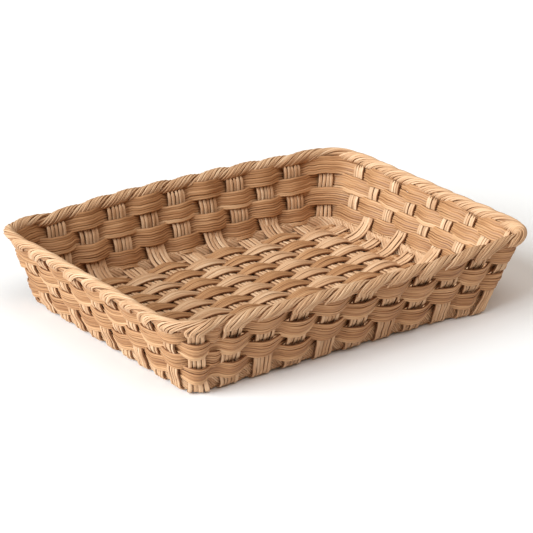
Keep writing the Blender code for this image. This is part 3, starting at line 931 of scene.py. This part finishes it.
def make_rim(material):
    piece = Piece("rim_border_strands")
    ring = Ring(HEIGHT, RIM_CENTRE_DEPTH)
    pitches = np.diff(ring.sites + [ring.sites[0] + ring.length])
    for index in range(len(SITES)):
        lay_fold(piece, ring, index, pitches[index], pitches[index - 1])
    lay_core(piece, ring)
    piece.build(material, "border_strands", "rim_border")


# ---- foot: a rope of strands behind the stakes, twisted the other way ----
FOOT_CENTRE_Z, FOOT_CENTRE_DEPTH = 0.0092, 0.0057
FOOT_HALF_WIDTH, FOOT_HALF_HEIGHT = 0.0009, 0.0068
FOOT_TILT = 0.32                   # outwards for each unit upwards
FOOT_BACK_DROP, FOOT_BACK_FLATNESS = 0.0022, 0.30      # how much lower and flatter at the back
FOOT_LEAD, FOOT_STRANDS, FOOT_STEP = 0.042, 9, 0.0025
FOOT_WAVE, FOOT_WANDER, FOOT_SWELL = 0.03, 0.0005, 0.06
FOOT_STRAND_HALF = (0.0017, 0.0012)                # width and thickness
FOOT_TONE, FOOT_TONE_SPREAD = 0.5, 0.15
# (inset from the foot's outer edge, height) of the plain hoops inside the rope
HOOPS = ((0.0104, 0.0044), (0.0130, 0.0052), (0.0158, 0.0068))
HOOP_STRAND_HALF, HOOP_TONE = (0.0016, 0.0011), 0.45
HOOP_WAVE, HOOP_WANDER, HOOP_TILT = 0.05, 0.0002, 0.2


def make_foot(material):
    piece = Piece("foot_border_strands")
    ring = Ring(0.0, FOOT_CENTRE_DEPTH)
    count = int(ring.length / FOOT_STEP)
    travel = np.arange(count) * ring.length / count
    share = travel / ring.length
    waves = ring.length / FOOT_WAVE
    centre, outward = wall(ring.place(travel), 0.0, FOOT_CENTRE_DEPTH)
    back = backness(centre[:, 1])
    half_height = FOOT_HALF_HEIGHT * (1 - FOOT_BACK_FLATNESS * back)[:, None]
    centre[:, 2] = FOOT_CENTRE_Z - FOOT_BACK_DROP * back + wobble(share, waves, FOOT_WANDER, True)
    turns = round(ring.length / FOOT_LEAD)
    for strand in range(FOOT_STRANDS):
        angle = 2 * math.pi * (strand / FOOT_STRANDS - turns * travel / ring.length)
        across = outward * np.cos(angle)[:, None]
        over = (UP + outward * FOOT_TILT) * np.sin(angle)[:, None]
        around = across * half_height + over * FOOT_HALF_WIDTH
        swell = 1 + wobble(share, waves, FOOT_SWELL, True)
        line = centre + (across * FOOT_HALF_WIDTH + over * half_height) * swell[:, None]
        tone = np.clip(FOOT_TONE + RNG.normal(0, FOOT_TONE_SPREAD), 0, 1)
        piece.strand(line, around, *FOOT_STRAND_HALF, tone, True)
    for inset, height in HOOPS:
        line, outward = wall(ring.place(travel), 0.0, inset)
        line[:, 2] = height + wobble(share, ring.length / HOOP_WAVE, HOOP_WANDER, True)
        piece.strand(line, UP - outward * HOOP_TILT, *HOOP_STRAND_HALF, HOOP_TONE, True)
    piece.build(material, "border_strands", "foot_border")


# ---- floor, light and camera ----
STAGE_HALF = 6.0
STAGE_Z = -0.0002                  # of the lowest strands
STAGE_COLOUR, STAGE_ROUGHNESS = (0.86, 0.83, 0.81, 1), 0.9
WORLD_COLOUR, WORLD_STRENGTH = (1.0, 0.78, 0.54, 1), 0.25
SOFTNESS = 50                      # of both suns, in degrees


def make_stage():
    mesh = bpy.data.meshes.new("floor")
    corners = [(x * STAGE_HALF, y * STAGE_HALF, 0) for x, y in ((-1, -1), (1, -1), (1, 1), (-1, 1))]
    mesh.from_pydata(corners, [], [(0, 1, 2, 3)])
    floor = bpy.data.objects.new("floor", mesh)
    bpy.context.scene.collection.objects.link(floor)
    material = bpy.data.materials.new("floor")
    material.use_nodes = True
    shader = material.node_tree.nodes["Principled BSDF"]
    shader.inputs["Base Color"].default_value = STAGE_COLOUR
    shader.inputs["Roughness"].default_value = STAGE_ROUGHNESS
    shader.inputs["Specular IOR Level"].default_value = 0.0
    mesh.materials.append(material)
    floor.location.z = STAGE_Z


def sun(name, position, strength, colour):
    light = bpy.data.lights.new(name, "SUN")
    light.angle = math.radians(SOFTNESS)
    light.energy = strength
    light.color = colour
    item = bpy.data.objects.new(name, light)
    item.location = position
    item.rotation_euler = (-Vector(position)).to_track_quat("-Z", "Y").to_euler()
    bpy.context.scene.collection.objects.link(item)


def make_light():
    world = bpy.data.worlds.new("studio")
    world.use_nodes = True
    background = world.node_tree.nodes["Background"]
    background.inputs["Color"].default_value = WORLD_COLOUR
    background.inputs["Strength"].default_value = WORLD_STRENGTH
    bpy.context.scene.world = world
    sun("key", position=(-1.95, 0.12, 0.96), strength=5.8, colour=(0.80, 0.92, 1.0))
    sun("top", position=(-0.1, -0.85, 1.95), strength=1.35, colour=(0.96, 0.98, 1.0))


AZIMUTH, ELEVATION, ROLL = math.radians(-38.65), math.radians(21.92), math.radians(1.82)
DISTANCE = 1.956
FOCAL = 149.37
MIDDLE = Vector((0, 0, 0.0398))    # of the basket, as the camera was fitted to it
AIM_SHIFT = (0.00046, 0.0037)      # how far left of that and below it the camera aims


def make_camera():
    data = bpy.data.cameras.new("camera")
    data.lens = FOCAL
    data.sensor_width = 36
    data.clip_end = 50
    camera = bpy.data.objects.new("camera", data)
    bpy.context.scene.collection.objects.link(camera)
    back = Vector((math.sin(AZIMUTH) * math.cos(ELEVATION),
                   -math.cos(AZIMUTH) * math.cos(ELEVATION), math.sin(ELEVATION)))
    right = Vector((math.cos(AZIMUTH), math.sin(AZIMUTH), 0))
    upward = back.cross(right)
    right_rolled = right * math.cos(ROLL) + upward * math.sin(ROLL)
    up_rolled = upward * math.cos(ROLL) - right * math.sin(ROLL)
    aim = MIDDLE - right_rolled * AIM_SHIFT[0] - up_rolled * AIM_SHIFT[1]
    position = MIDDLE + back * DISTANCE
    toward = (position - aim).normalized()
    side = up_rolled.cross(toward).normalized()
    top = toward.cross(side)
    basis = Matrix((side, top, toward)).transposed().to_4x4()
    camera.matrix_world = Matrix.Translation(position) @ basis
    bpy.context.scene.camera = camera


def main():
    make_camera()
    make_light()
    make_stage()
    stakes = strand_material("stake_strands")
    weavers = strand_material("weaver_strands")
    borders = strand_material("border_strands")
    for row in range(4):
        make_row(row, weavers)
    for index in range(9):
        make_cross_stake(index, stakes)
        make_long_stake(index, stakes)
        make_floor_weaver(index, weavers)
    for name in CORNERS:
        make_corner_stake(name, stakes)
    make_rim(borders)
    make_foot(borders)
    bpy.context.scene.view_settings.view_transform = "Standard"


main()
